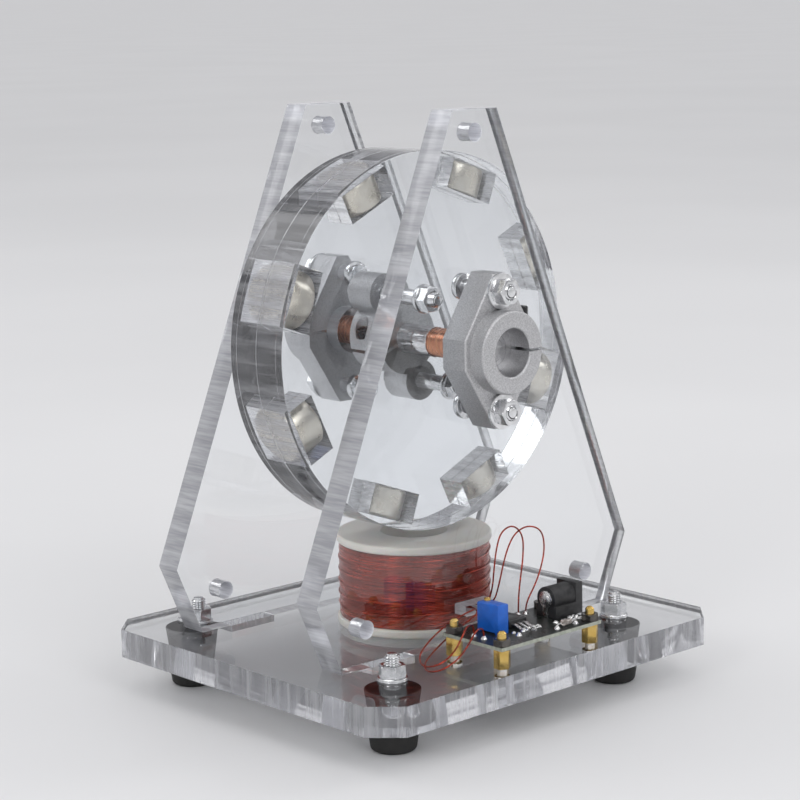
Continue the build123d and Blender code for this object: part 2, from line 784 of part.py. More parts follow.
def under_screw():
    """Screw that holds a standoff from below the base."""
    head = rod_z(m3_head_radius, 0, under_screw_head_height)
    head = chamfer(head.edges().sort_by(Axis.Z)[-1], nut_corner_cut)
    screw = head + rod_z(m3_radius, -base_thickness - standoff_thread_depth, 0)
    return Pos(0, 0, foot_height) * Rot(180, 0, 0) * screw


def on_places(piece, places, z=0.0):
    """Copies of a piece at each place on the base or board."""
    return [Pos(x, y, z) * piece for x, y in places]


# ---- parts on the board
def trimmer_body():
    """Upright trimmer case on small feet, with the hole for its screw."""
    x = (trimmer_x - trimmer_width / 2, trimmer_x + trimmer_width / 2)
    y = (trimmer_y - trimmer_length / 2, trimmer_y + trimmer_length / 2)
    case = block(x, y, (board_top + trimmer_foot_height, trimmer_top))
    case = chamfer(case.faces().sort_by(Axis.Z)[-1].edges(), trimmer_edge)
    for side_x, out_x in ((x[0], 1), (x[1], -1)):
        for side_y, out_y in ((y[0], 1), (y[1], -1)):
            foot_x = sorted((side_x, side_x + out_x * trimmer_foot_size))
            foot_y = sorted((side_y, side_y + out_y * trimmer_foot_size))
            case += block(foot_x, foot_y, (board_top, board_top + trimmer_foot_height))
    hole_radius = trimmer_screw_radius + trimmer_screw_play
    hole_bottom = trimmer_top - trimmer_screw_depth - trimmer_screw_play
    return case - rod_z(hole_radius, hole_bottom, trimmer_top, trimmer_screw_x, trimmer_screw_y)


def trimmer_screw():
    """Slotted screw of the trimmer."""
    low = trimmer_top - trimmer_screw_depth
    high = trimmer_top + trimmer_screw_proud
    screw = rod_z(trimmer_screw_radius, low, high, trimmer_screw_x, trimmer_screw_y)
    slot = Box(2 * trimmer_screw_radius, trimmer_screw_slot, 2 * trimmer_screw_slot)
    return screw - Pos(trimmer_screw_x, trimmer_screw_y, high) * slot


def jack_housing():
    """Power socket: tall mouth block, round barrel behind it on a square foot, bored from the right."""
    y = (jack_y - jack_width / 2, jack_y + jack_width / 2)
    rear = jack_rear_x + jack_rivet_thickness
    mouth_rear = jack_mouth_x - jack_mouth_length
    mouth = block((mouth_rear, jack_mouth_x), y, (board_top, board_top + jack_height))
    mouth = chamfer(mouth.faces().sort_by(Axis.X)[-1].edges(), jack_edge)
    barrel = rod_x(jack_barrel_radius, rear, mouth_rear, jack_y, jack_axis_z)
    foot = block((rear, mouth_rear), y, (board_top, jack_axis_z - jack_barrel_radius / 2))
    body = mouth + barrel + foot
    body -= rod_x(jack_bore_radius, jack_mouth_x - jack_bore_depth, jack_mouth_x, jack_y, jack_axis_z)
    return body - rod_x(jack_pin_radius, rear, jack_mouth_x, jack_y, jack_axis_z)


def jack_pin():
    """Centre pin, riveted at the back of the socket."""
    end = jack_mouth_x - jack_pin_setback
    pin = rod_x(jack_pin_radius, jack_rear_x, end, jack_y, jack_axis_z)
    pin = chamfer(pin.edges().sort_by(Axis.X)[-1], jack_pin_radius / 2)
    rivet_rear = jack_rear_x - jack_rivet_thickness
    rivet = rod_x(2 * jack_pin_radius, rivet_rear, jack_rear_x, jack_y, jack_axis_z)
    return pin + chamfer(rivet.edges().sort_by(Axis.X)[0], jack_rivet_thickness / 2)


def jack_terminal():
    """Ring of sheet metal under the rivet, with its tail down to the board."""
    rear = jack_rear_x
    front = jack_rear_x + jack_rivet_thickness
    ring = rod_x(jack_rivet_radius, rear, front, jack_y, jack_axis_z)
    tail_y = (jack_y - jack_tail_width / 2, jack_y + jack_tail_width / 2)
    ring += block((rear, front), tail_y, (board_top, jack_axis_z))
    return ring - rod_x(jack_pin_radius, rear, front, jack_y, jack_axis_z)


def transistor_body():
    """Flat moulded body with its fixing hole, lying on the board."""
    x = (transistor_x - transistor_width / 2, transistor_x + transistor_width / 2)
    body = block(x, (transistor_front_y, transistor_rear_y), (board_top, board_top + transistor_thickness))
    body = chamfer(body.faces().sort_by(Axis.Z)[-1].edges(), nut_corner_cut)
    hole_y = transistor_rear_y - transistor_hole_inset
    hole_top = board_top + transistor_thickness
    return body - rod_z(transistor_hole_radius, board_top, hole_top, transistor_x, hole_y)


def transistor_leads():
    """Three flat leads: straight out of the body, down at a slant, flat on the board."""
    top = board_top + transistor_lead_height
    knee_y = transistor_front_y - transistor_lead_reach / 3
    thick = transistor_lead_thickness
    side_view = [
        (transistor_front_y, top),
        (knee_y, top),
        (transistor_lead_y, board_top + thick),
        (transistor_lead_y - solder_radius, board_top + thick),
        (transistor_lead_y - solder_radius, board_top),
        (transistor_lead_y + thick / 2, board_top),
        (knee_y + thick / 2, top - thick),
        (transistor_front_y, top - thick),
    ]
    strip = extrude(Plane.YZ * make_face(Polyline(*side_view, close=True)), amount=transistor_lead_width)
    return [Pos(x - transistor_lead_width / 2, 0, 0) * strip for x in transistor_lead_places]


def diode_wire():
    """The diode's wire, bent down to the board at both ends."""
    height = board_top + diode_height
    left, right = diode_lead_places
    corners = [(left, diode_y, board_top), (left, diode_y, height), (right, diode_y, height)]
    corners.append((right, diode_y, board_top))
    path = FilletPolyline(*corners, radius=diode_lead_bend)
    section = Plane(origin=corners[0], z_dir=(0, 0, 1)) * RegularPolygon(diode_lead_radius, wire_sides)
    return sweep(section, path=path)


def diode_body(wire):
    """Glass body around the wire."""
    half = diode_length / 2
    body = rod_x(diode_radius, diode_x - half, diode_x + half, diode_y, board_top + diode_height)
    body = chamfer(body.edges().filter_by(GeomType.CIRCLE), diode_radius / 2)
    return body - wire


def solder_joints(wires):
    """Solder cones at every joint, fitted round the leads that they hold."""
    places = [(x, transistor_lead_y - solder_radius / 2) for x in transistor_lead_places]
    places += [(x, diode_y) for x in diode_lead_places]
    places += [(board_left_x + x, board_front_y + y) for x, y in solder_from_corner]
    cone = Pos(0, 0, solder_height / 2) * Cone(solder_radius, solder_top_radius, solder_height)
    joints = []
    for x, y in places:
        joint = Pos(x, y, board_top) * cone
        for wire in wires:
            joint = joint - wire
        joints.append(joint)
    return joints


# ---- coil leads
def lead_radii(points):
    """Bend radius at each inner point: as large as its two runs allow."""
    radii = []
    for before, here, after in zip(points, points[1:], points[2:]):
        run_in = Vector(*here) - Vector(*before)
        run_out = Vector(*after) - Vector(*here)
        half_turn = math.radians(run_in.get_angle(run_out)) / 2
        radii.append(0.45 * min(run_in.length, run_out.length) / math.tan(half_turn))
    return radii


def lead(points):
    """One lead: a tube of straight runs joined by arcs."""
    radii = lead_radii(points)
    path = FilletPolyline(*points, radius=radii)
    direction = Vector(*points[1]) - Vector(*points[0])
    section = RegularPolygon(lead_diameter / 2, wire_sides)
    tube = sweep(Plane(origin=points[0], z_dir=direction) * section, path=path)
    expected = section.area * path.length
    print("lead radii", [round(radius, 1) for radius in radii])
    ratio = round(tube.volume / expected, 4)
    print("lead length", round(path.length, 1), "volume over section x length", ratio)
    return tube


def build():
    """Make every piece and write it."""
    os.makedirs("parts", exist_ok=True)

    write("base_plate", base_plate())
    write("rubber_feet", *on_places(rubber_foot(), foot_places))
    write("foot_bolts", *on_places(foot_bolt(), foot_places))
    foot_washer = washer(m5_washer_radius, m5_hole_radius, m5_washer_height)
    write("foot_washers", *on_places(foot_washer, foot_places, base_top))
    foot_nut = nut(m5_nut_flats, m5_nut_height, m5_radius)
    write("foot_nuts", *on_places(foot_nut, foot_places, base_top + m5_washer_height))

    write("front_frame", frame(frame_inner_front_y, -1, True))
    write("rear_frame", frame(frame_inner_rear_y, 1, False))

    front_place, rear_place = support_places()
    write("front_support", front_place * support())
    write("rear_support", rear_place * support())
    write("support_clamp_screws", front_place * clamp_screw(), rear_place * clamp_screw())
    for kind in ("bolt", "washer", "nut"):
        write(f"support_{kind}s", *support_fasteners(kind))

    places = [bearing_place(middle) for middle in bearing_middles]
    write("bearing_outer_rings", *[place * bearing_outer_ring() for place in places])
    write("bearing_inner_rings", *[place * bearing_inner_ring() for place in places])
    write("bearing_shields", *[place * cover for place in places for cover in bearing_shields()])
    for name, place in zip(("front", "rear"), places):
        write(f"{name}_bearing_balls", *[place * ball for ball in bearing_balls()])
        write(f"{name}_bearing_cage", place * bearing_cage())

    front_layer_y = rotor_front_y + cover_thickness
    rear_layer_y = front_layer_y + layer_thickness
    rear_cover_y = rear_layer_y + layer_thickness
    write("rotor_front_cover", rotor_disc(rotor_front_y, cover_thickness, False))
    write("rotor_front_layer", rotor_disc(front_layer_y, layer_thickness, True))
    write("rotor_rear_layer", rotor_disc(rear_layer_y, layer_thickness, True))
    write("rotor_rear_cover", rotor_disc(rear_cover_y, cover_thickness, False))
    write("rotor_magnets", *magnets())
    write("rotor_hub", hub())
    write("hub_clamp_screw", hub_screw())
    for kind in ("bolt", "washer", "nut"):
        write(f"hub_{kind}s", *hub_fasteners(kind))

    write("shaft", shaft())
    write("front_sleeve", sleeve(bearing_front_y + bearing_width, rotor_rear_y))
    write("rear_sleeve", sleeve(hub_rear_y, bearing_rear_y - bearing_width))

    write("bobbin", bobbin())
    write("winding_core", winding_core())
    write("winding", winding())

    write("circuit_board", circuit_board())
    write("board_standoffs", *on_places(standoff(), standoff_places, base_top))
    write("standoff_screws", *on_places(under_screw(), standoff_places))
    board_nut = Rot(0, 0, board_nut_turn) * nut(m3_nut_flats, m3_nut_height, m3_radius)
    write("board_nuts", *on_places(board_nut, standoff_places, board_top))

    write("trimmer_body", trimmer_body())
    write("trimmer_screw", trimmer_screw())
    write("jack_housing", jack_housing())
    write("jack_pin", jack_pin())
    write("jack_terminal", jack_terminal())
    write("transistor_body", transistor_body())
    flat_leads = transistor_leads()
    write("transistor_leads", *flat_leads)
    thin_wire = diode_wire()
    write("diode_wire", thin_wire)
    write("diode_body", diode_body(thin_wire))
    write("solder_joints", *solder_joints([*flat_leads, thin_wire]))

    for number, route in enumerate(lead_routes, start=1):
        write(f"coil_lead_{number}", lead(route))


build()
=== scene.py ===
# %% [markdown]
# # Demonstration electric motor
# A clear wheel with eight magnets spins between two clear uprights, above one copper coil that a small
# circuit board pulses. The CAD model is loaded first and never changed: every piece made below takes its
# place from it, and stands in the same metres.

# %% Load the frame
import json
import math

import bmesh
import bpy
from mathutils import Matrix, Vector, noise

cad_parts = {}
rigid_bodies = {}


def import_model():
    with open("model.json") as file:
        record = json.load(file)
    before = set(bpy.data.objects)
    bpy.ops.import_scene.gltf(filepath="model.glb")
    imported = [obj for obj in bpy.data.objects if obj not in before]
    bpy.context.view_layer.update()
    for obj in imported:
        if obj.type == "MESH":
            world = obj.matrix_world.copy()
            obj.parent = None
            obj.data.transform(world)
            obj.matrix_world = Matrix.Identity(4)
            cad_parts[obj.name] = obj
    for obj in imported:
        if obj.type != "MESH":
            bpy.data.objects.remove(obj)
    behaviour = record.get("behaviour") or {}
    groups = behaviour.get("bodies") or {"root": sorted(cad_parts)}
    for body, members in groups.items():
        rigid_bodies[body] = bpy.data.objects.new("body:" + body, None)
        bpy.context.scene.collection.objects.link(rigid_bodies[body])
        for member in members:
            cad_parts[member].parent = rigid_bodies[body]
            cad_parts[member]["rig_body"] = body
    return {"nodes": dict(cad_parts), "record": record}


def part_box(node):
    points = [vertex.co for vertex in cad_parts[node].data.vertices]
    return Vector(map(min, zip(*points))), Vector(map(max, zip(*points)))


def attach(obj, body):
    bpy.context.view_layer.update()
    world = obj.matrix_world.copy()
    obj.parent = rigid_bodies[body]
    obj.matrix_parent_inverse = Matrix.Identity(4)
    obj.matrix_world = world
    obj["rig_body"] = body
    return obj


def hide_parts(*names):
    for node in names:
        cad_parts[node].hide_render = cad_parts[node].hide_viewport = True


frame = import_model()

bpy.context.view_layer.update()
body_of = {node: cad["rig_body"] for node, cad in frame["nodes"].items()}
slot_of = {row["node"]: row["material_slot"] for row in frame["record"]["subparts"]}
mm = 0.001

# %% [markdown]
# The main places are measured on the frame, so that a new piece can't drift from the solid that it stands
# for: the wheel's axle, its radius and its four layers, the uprights, the base and the coil.

# %% Measure the places
wheel_low, wheel_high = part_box("rotor_front_cover")
wheel_radius = (wheel_high.x - wheel_low.x) / 2
axle_z = (wheel_high.z + wheel_low.z) / 2
layer_y = [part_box(node)[0].y for node in ("rotor_front_cover", "rotor_front_layer", "rotor_rear_layer",
                                          "rotor_rear_cover")] + [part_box("rotor_rear_cover")[1].y]
base_low, base_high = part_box("base_plate")
coil_low, coil_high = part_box("bobbin")
coil_y = (coil_low.y + coil_high.y) / 2
print("axle at", round(axle_z / mm, 1), "wheel radius", round(wheel_radius / mm, 1), "coil at y", round(coil_y / mm, 1))

# %% [markdown]
# ## Camera
# The photograph's camera stands to the left of the shaft and a little above it. Its place was found by
# matching corners of the base and the uprights, so it is written as a turn, a rise, a roll and a distance
# from a point just below the axle.

# %% Camera
turn, rise, roll = (math.radians(angle) for angle in (-42.6134, 10.1708, -1.0561))
focal_pixels, image_pixels, sensor_mm = 2316.29, 800, 36.0
back = Vector((math.sin(turn) * math.cos(rise), -math.cos(turn) * math.cos(rise), math.sin(rise)))
level_right = Vector((math.cos(turn), math.sin(turn), 0))
level_up = back.cross(level_right)
right = level_right * math.cos(roll) + level_up * math.sin(roll)
up = level_up * math.cos(roll) - level_right * math.sin(roll)
aim = Vector((0, 0, 103.0)) * mm - right * 3.2473 * mm - up * 2.3761 * mm
camera_data = bpy.data.cameras.new("camera")
camera_data.sensor_width = sensor_mm
camera_data.lens = focal_pixels / image_pixels * sensor_mm
camera_data.clip_start, camera_data.clip_end = 0.01, 200.0
camera = bpy.data.objects.new("camera", camera_data)
bpy.context.scene.collection.objects.link(camera)
camera.matrix_world = Matrix.Translation(aim + back * 797.094 * mm) @ Matrix((right, up, back)).transposed().to_4x4()
bpy.context.scene.camera = camera
print("lens", round(camera_data.lens, 1), "mm at", [round(value / mm) for value in camera.location])

# %% [markdown]
# ## Coil leads
# Four ends of enamelled wire leave the coil through a slot in the front upright and end on the board. Two
# sag over the base's left side, two stand up in a loose arch. Each is one smooth spline through the route
# that the CAD tube takes; the table gives its real length beside the route.

# %% Lead routes
lead_wire = 0.55
point_radius = 0.001
lead_routes = {
    "coil_lead_1": (90.0, [
        (-3.0, -22.4, 33.2), (-3.0, -30.0, 33.2), (-4.2, -36.2, 34.2), (-10.3, -36.8, 33.8),
        (-19.8, -37.4, 31.9), (-30.5, -40.0, 29.0), (-39.6, -44.6, 26.6), (-43.2, -50.6, 25.0),
        (-41.7, -56.3, 26.3), (-34.6, -56.1, 28.9), (-28.1, -53.4, 32.5), (-24.0, -51.3, 34.9),
        (-20.4, -50.2, 34.5), (-19.6, -50.2, 32.9), (-19.6, -50.2, 31.5)]),
    "coil_lead_2": (96.0, [
        (-1.2, -22.5, 33.2), (-1.2, -29.4, 33.2), (-2.8, -36.0, 32.8), (-9.3, -36.8, 30.7),
        (-18.0, -37.6, 28.1), (-28.8, -40.6, 25.4), (-40.2, -47.6, 24.6), (-44.8, -54.6, 24.4),
        (-43.9, -60.7, 26.3), (-36.9, -61.2, 28.9), (-29.7, -58.6, 32.1), (-25.0, -56.7, 34.7),
        (-21.0, -55.3, 34.5), (-19.9, -55.1, 32.9), (-19.9, -55.1, 31.5)]),
    "coil_lead_3": (75.8, [
        (1.4, -22.5, 33.2), (1.4, -28.8, 33.2), (1.6, -35.4, 34.0), (2.2, -37.2, 40.2),
        (2.1, -38.1, 46.9), (3.0, -38.3, 53.5), (5.2, -38.4, 59.4), (10.9, -38.6, 61.0),
        (15.4, -38.9, 56.7), (14.0, -40.3, 49.9), (11.4, -41.5, 43.1), (9.4, -42.5, 37.7),
        (8.6, -43.0, 32.9), (8.6, -43.0, 31.5)]),
    "coil_lead_4": (80.0, [
        (3.8, -22.3, 33.2), (3.8, -28.6, 33.2), (4.4, -35.4, 34.0), (5.2, -37.2, 40.4),
        (6.4, -38.0, 47.1), (8.6, -38.2, 53.2), (12.1, -38.3, 57.8), (18.2, -38.6, 59.5),
        (24.4, -39.1, 56.9), (24.4, -40.5, 50.9), (21.3, -41.7, 44.7), (17.1, -42.7, 39.3),
        (13.4, -43.2, 35.7), (11.8, -43.4, 32.9), (11.8, -43.4, 31.5)]),
}


def join(piece, *nodes):
    """Put a new piece in the scene, on the body of its first node."""
    if piece.name not in bpy.context.scene.collection.objects:
        bpy.context.scene.collection.objects.link(piece)
    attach(piece, body_of[nodes[0]])
    return piece


leads = []
for node, (length, route) in lead_routes.items():
    line = bpy.data.curves.new(node.replace("coil_", "wire_"), "CURVE")
    line.dimensions = "3D"
    line.bevel_depth, line.bevel_resolution, line.resolution_u = lead_wire / 2 * mm / point_radius, 3, 8
    line.use_fill_caps = True
    spline = line.splines.new("NURBS")
    spline.points.add(len(route) - 1)
    for point, place in zip(spline.points, route):
        point.co = (*(value * mm for value in place), 1.0)
        point.radius = point_radius
    spline.order_u = 3
    spline.use_endpoint_u = True
    lead = join(bpy.data.objects.new(line.name, line), node)
    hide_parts(node)
    leads.append(lead)
print(len(leads), "leads of", [route[0] for route in lead_routes.values()], "mm")

# %% [markdown]
# ## Shader maths
# A material's pattern is arithmetic on sockets. One small class wraps a socket, so that a pattern reads as
# an expression, and one method adds any other node.

# %% Socket maths
class Signal:
    """One socket of a material's nodes; sums and products of signals add the Math nodes."""

    def __init__(self, tree, socket=None):
        self.tree = tree
        self.socket = socket

    def add(self, kind, settings=None, inputs=None, output=0):
        node = self.tree.nodes.new("ShaderNode" + kind)
        for name, value in (settings or {}).items():
            if name == "stops":
                for element, (position, colour) in zip(node.color_ramp.elements, value):
                    element.position, element.color = position, colour
            else:
                setattr(node, name, value)
        for name, value in (inputs or {}).items():
            if isinstance(value, Signal):
                self.tree.links.new(value.socket, node.inputs[name])
            else:
                node.inputs[name].default_value = value
        return Signal(self.tree, node.outputs[output])

    def maths(self, operation, first, second):
        return self.add("Math", {"operation": operation}, {0: first, 1: second})

    def __add__(self, other):
        return self.maths("ADD", self, other)

    def __radd__(self, other):
        return self.maths("ADD", other, self)

    def __sub__(self, other):
        return self.maths("SUBTRACT", self, other)

    def __rsub__(self, other):
        return self.maths("SUBTRACT", other, self)

    def __mul__(self, other):
        return self.maths("MULTIPLY", self, other)

    def __rmul__(self, other):
        return self.maths("MULTIPLY", other, self)

    def __pow__(self, other):
        return self.maths("POWER", self, other)

    def between(self, low, high):
        """0 below low, 1 above high, a smooth ramp between."""
        return self.add("MapRange", {"interpolation_type": "SMOOTHSTEP"},
                        {"Value": self, "From Min": low, "From Max": high})

    def mix(self, first, second):
        """The first colour where this signal is 0, the second where it is 1."""
        return self.add("Mix", {"data_type": "RGBA"}, {0: self, 6: first, 7: second}, output=2)


def place_on_piece(tree, stretch=(1, 1, 1)):
    """Object coordinates, stretched along the axes."""
    start = Signal(tree)
    spot = start.add("TexCoord", output="Object")
    return start.add("Mapping", inputs={"Vector": spot, "Scale": stretch})


def cloud(spot, size, detail=2.0, distortion=0.0):
    """Soft noise from 0 to 1 whose blots have a size in millimetres."""
    return spot.add("TexNoise", inputs={"Vector": spot, "Scale": 1 / (size * mm), "Detail": detail,
                                        "Distortion": distortion})


def new_material(name, **constants):
    """A material, its tree and its shader, with the values that are the same all over it."""
    material = bpy.data.materials.new(name)
    material.use_nodes = True
    shader = material.node_tree.nodes["Principled BSDF"]
    for socket, value in constants.items():
        shader.inputs[socket.replace("_", " ")].default_value = value
    return material, material.node_tree, shader


def link(shader, **signals):
    """Connect signals to the shader's sockets."""
    for socket, signal in signals.items():
        signal.tree.links.new(signal.socket, shader.inputs[socket.replace("_", " ")])


def dent(height, depth, strength=1.0):
    """Bump from a height signal, with its full depth in millimetres."""
    return height.add("Bump", inputs={"Height": height, "Distance": depth * mm, "Strength": strength})


def finish(name, dark, light, blot, gloss, grain=(0.2, 0.0), stretch=(1, 1, 1), **constants):
    """A solid finish: two near colours in blots, roughness between two values, a fine grain in relief."""
    material, tree, shader = new_material(name, **constants)
    spot = place_on_piece(tree, stretch)
    blots = cloud(spot, blot, 4.0).between(0.3, 0.7)
    fine = cloud(spot, grain[0], 3.0)
    link(shader, Base_Color=blots.mix((*dark, 1), (*light, 1)),
         Roughness=(blots + fine) * ((gloss[1] - gloss[0]) / 2) + gloss[0])
    if grain[1]:
        link(shader, Normal=dent(fine, grain[1]))
    return material


print("shader maths ready")

# %% [markdown]
# ## Metal finishes
# The metals differ in grain and gloss more than in colour: sand-blasted aluminium is a fine even grain,
# zinc is bright with soft clouds, nickel is a warm mirror, and turned copper keeps rings around its axis.

# %% Metals
finishes = {
    "blasted_aluminium": finish("blasted_aluminium", (0.42, 0.42, 0.43), (0.66, 0.66, 0.67), 0.35, (0.24, 0.42),
                                (0.16, 0.09), Metallic=0.92),
    "zinc_steel": finish("zinc_steel", (0.66, 0.67, 0.68), (0.84, 0.84, 0.85), 2.5, (0.08, 0.2), (0.6, 0.006),
                         Metallic=1.0),
    "black_steel": finish("black_steel", (0.012, 0.012, 0.014), (0.03, 0.03, 0.032), 1.5, (0.22, 0.34), (0.3, 0.004),
                          Metallic=0.6),
    "bearing_steel": finish("bearing_steel", (0.5, 0.5, 0.51), (0.66, 0.66, 0.67), 2.0, (0.15, 0.3), (0.15, 0.004),
                            stretch=(1, 6, 1), Metallic=1.0),
    "nickel": finish("nickel", (0.73, 0.68, 0.58), (0.84, 0.8, 0.71), 6.0, (0.22, 0.36), (0.25, 0.004), Metallic=0.9),
    "copper": finish("copper", (0.68, 0.29, 0.17), (0.74, 0.34, 0.2), 6.0, (0.24, 0.3), (0.12, 0.0006),
                     stretch=(1, 5, 1), Metallic=1.0),
    "brass": finish("brass", (0.62, 0.42, 0.12), (0.74, 0.53, 0.19), 3.0, (0.16, 0.3), (0.3, 0.003), Metallic=1.0),
    "dark_steel": finish("dark_steel", (0.09, 0.085, 0.08), (0.15, 0.14, 0.13), 2.2, (0.18, 0.3), (0.3, 0.003),
                         Metallic=0.9),
    "tinned_metal": finish("tinned_metal", (0.6, 0.6, 0.6), (0.85, 0.85, 0.84), 0.7, (0.12, 0.35), (0.35, 0.05),
                           Metallic=1.0),
}
print(len(finishes), "metals")

# %% [markdown]
# ## Plastics and rubber
# The spool is moulded in cream plastic that lets a little light in, the trimmer is glossy blue, the socket
# and the transistor are matt black with a fine spark-eroded grain.

# %% Plastics
finishes.update({
    "cream_plastic": finish("cream_plastic", (0.84, 0.8, 0.73), (0.88, 0.85, 0.78), 9.0, (0.32, 0.48), (0.5, 0.01),
                            Subsurface_Weight=0.15, Subsurface_Scale=0.002),
    "black_board": finish("black_board", (0.012, 0.014, 0.013), (0.024, 0.027, 0.025), 6.0, (0.24, 0.34), (0.4, 0.003)),
    "board_edge": finish("board_edge", (0.28, 0.3, 0.25), (0.42, 0.44, 0.38), 1.0, (0.5, 0.7), (0.2, 0.03)),
    "black_plastic": finish("black_plastic", (0.014, 0.014, 0.015), (0.03, 0.03, 0.032), 2.0, (0.32, 0.5),
                            (0.18, 0.03)),
    "blue_plastic": finish("blue_plastic", (0.008, 0.1, 0.48), (0.012, 0.13, 0.58), 3.0, (0.28, 0.42), (0.25, 0.012)),
    "rubber": finish("rubber", (0.012, 0.012, 0.012), (0.028, 0.027, 0.026), 4.0, (0.6, 0.8), (0.25, 0.04)),
    "clear_glass": finish("clear_glass", (0.5, 0.42, 0.38), (0.85, 0.8, 0.76), 0.8, (0.02, 0.08), (0.5, 0.004),
                          Transmission_Weight=0.7, IOR=1.5),
})
print(len(finishes), "finishes")

# %% [markdown]
# ## Clear acrylic
# The sheets are cast acrylic: polished faces that carry a few fine scuffs, and laser-cut edges that show
# streaks along the cut. Faces and edges get a material each, because only the edge has the streaks, and
# the streaks run through the sheet's thickness, so the noise is stretched along that axis. The rim is
# nearly clear, the pockets' walls are coarse, and small holes and slots are frosted white.

# %% Acrylic
acrylic_glass = {"Transmission_Weight": 1.0, "IOR": 1.49, "Specular_IOR_Level": 0.5}
clear_face, tree, shader = new_material("acrylic_face", **acrylic_glass)
spot = place_on_piece(tree)
scuffs = cloud(spot, 2.2, 6.0, 1.5).between(0.62, 0.8)
link(shader, Base_Color=scuffs.mix((0.965, 0.975, 0.985, 1), (0.93, 0.94, 0.95, 1)), Roughness=scuffs * 0.05)


def cut_edge(name, streak_axis, grain, frost, relief_depth=0.05):
    """Cut wall of a sheet: clear glass and pale frost side by side, in streaks through the thickness."""
    material, tree, clear = new_material(name, **acrylic_glass)
    spot = place_on_piece(tree, tuple(0.06 if axis == streak_axis else 1 for axis in range(3)))
    wide, narrow = cloud(spot, 3.0, 3.0), cloud(spot, grain, 3.0)
    streaks = (wide * 0.6 + narrow * 0.4).between(0.35, 0.7)
    relief = dent(wide * 0.7 + narrow * 0.3, relief_depth)
    link(clear, Base_Color=streaks.mix((0.975, 0.98, 0.99, 1), (0.9, 0.91, 0.94, 1)), Roughness=streaks * 0.14 + 0.03,
         Normal=relief)
    pale = streaks.add("BsdfPrincipled", inputs={"Base Color": streaks.mix((0.79, 0.8, 0.86, 1), (0.89, 0.9, 0.94, 1)),
                                                 "Roughness": 0.36, "Normal": relief})
    factor = streaks * (frost[1] - frost[0]) + frost[0]
    blend = streaks.add("MixShader", inputs={0: factor, 1: Signal(tree, clear.outputs["BSDF"]), 2: pale})
    tree.links.new(blend.socket, tree.nodes["Material Output"].inputs["Surface"])
    return material


edge_of_upright = cut_edge("acrylic_edge_upright", 1, 0.7, (0.36, 0.5), 0.012)
edge_of_base = cut_edge("acrylic_edge_base", 2, 1.2, (0.2, 0.32), 0.014)
edge_of_rim = cut_edge("acrylic_rim", 1, 0.8, (0.08, 0.2), 0.006)
wall_of_pocket = cut_edge("acrylic_pocket_wall", 1, 0.35, (0.1, 0.75))
wall_of_hole = cut_edge("acrylic_hole_wall", 1, 0.4, (0.6, 0.95))
print("acrylic: one face finish, five cut finishes")

# %% [markdown]
# ## Cutting sheets
# Each clear plate is cut as the real one is: its outline and its holes are drawn flat, the area between
# them is filled, and the whole is pushed through the sheet's thickness. A hair-thin bevel breaks the
# edges, so that they catch a line of light.

# %% Sheet helpers
edge_break = 0.12 * mm
air_film = 0.02 * mm
round_steps = 96


def ring_of(bm, radius, centre=(0, 0), steps=round_steps, z=0.0):
    """A circle's edges, flat in X and Y."""
    made = bmesh.ops.create_circle(bm, radius=radius, segments=steps, cap_ends=False)
    bmesh.ops.translate(bm, vec=(*centre, z), verts=made["verts"])
    return list({edge for vert in made["verts"] for edge in vert.link_edges})


def outline_of(bm, corners, z=0.0):
    """A closed outline's edges through a few corners."""
    verts = [bm.verts.new((x, y, z)) for x, y in corners]
    return [bm.edges.new(pair) for pair in zip(verts, verts[1:] + verts[:1])]


def fill_between(bm, edges):
    """Fill an outline and leave the outlines inside it open."""
    made = bmesh.ops.triangle_fill(bm, use_beauty=True, use_dissolve=False, edges=edges)
    return [item for item in made["geom"] if isinstance(item, bmesh.types.BMFace)]


def push(bm, edges, distance, inset=0.0):
    """Draw edges out along Z; a small inset makes a groove's wall. The far edges come back."""
    made = bmesh.ops.extrude_edge_only(bm, edges=edges)["geom"]
    verts = [item for item in made if isinstance(item, bmesh.types.BMVert)]
    bmesh.ops.translate(bm, vec=(0, 0, distance), verts=verts)
    if inset:
        for vert in verts:
            reach = vert.co.xy.length
            vert.co.xy = vert.co.xy * ((reach - inset) / reach)
    return [item for item in made if isinstance(item, bmesh.types.BMEdge)]


def break_edges(bm, width, segments=1, sharp=40):
    """Bevel every edge that turns by more than an angle."""
    sharp_edges = [edge for edge in bm.edges
                   if len(edge.link_faces) == 2 and edge.calc_face_angle(0) > math.radians(sharp)]
    bmesh.ops.bevel(bm, geom=sharp_edges, offset=width, offset_type="OFFSET", segments=segments, profile=0.5,
                    affect="EDGES", clamp_overlap=True, material=-1)


def piece_from(bm, name, materials, nodes, place=None, sharp=35, pick=None):
    """Turn a bmesh into a piece that stands for CAD nodes, smooth but for its sharp edges."""
    if pick:
        for face in bm.faces:
            face.material_index = pick(face)
    if place:
        bmesh.ops.transform(bm, matrix=place, verts=bm.verts)
    mesh = bpy.data.meshes.new(name)
    bm.to_mesh(mesh)
    bm.free()
    for material in materials:
        mesh.materials.append(material)
    mesh.polygons.foreach_set("use_smooth", [True] * len(mesh.polygons))
    mesh.set_sharp_from_angle(angle=math.radians(sharp))
    piece = join(bpy.data.objects.new(name, mesh), *nodes)
    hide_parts(*nodes)
    return piece


def wall_or_face(face):
    """Material index of a sheet that lies flat: 0 on its faces, 1 on its cut walls."""
    return 0 if abs(face.normal.z) > 0.9 else 1


def small_hole_picker(spots):
    """A pick that also gives 2 to the walls near some small holes, each a place and a reach."""
    def pick(face):
        middle = face.calc_center_median().xy
        near = any((middle - Vector(spot)).length < reach for spot, reach in spots)
        return wall_or_face(face) * (2 if near else 1)
    return pick


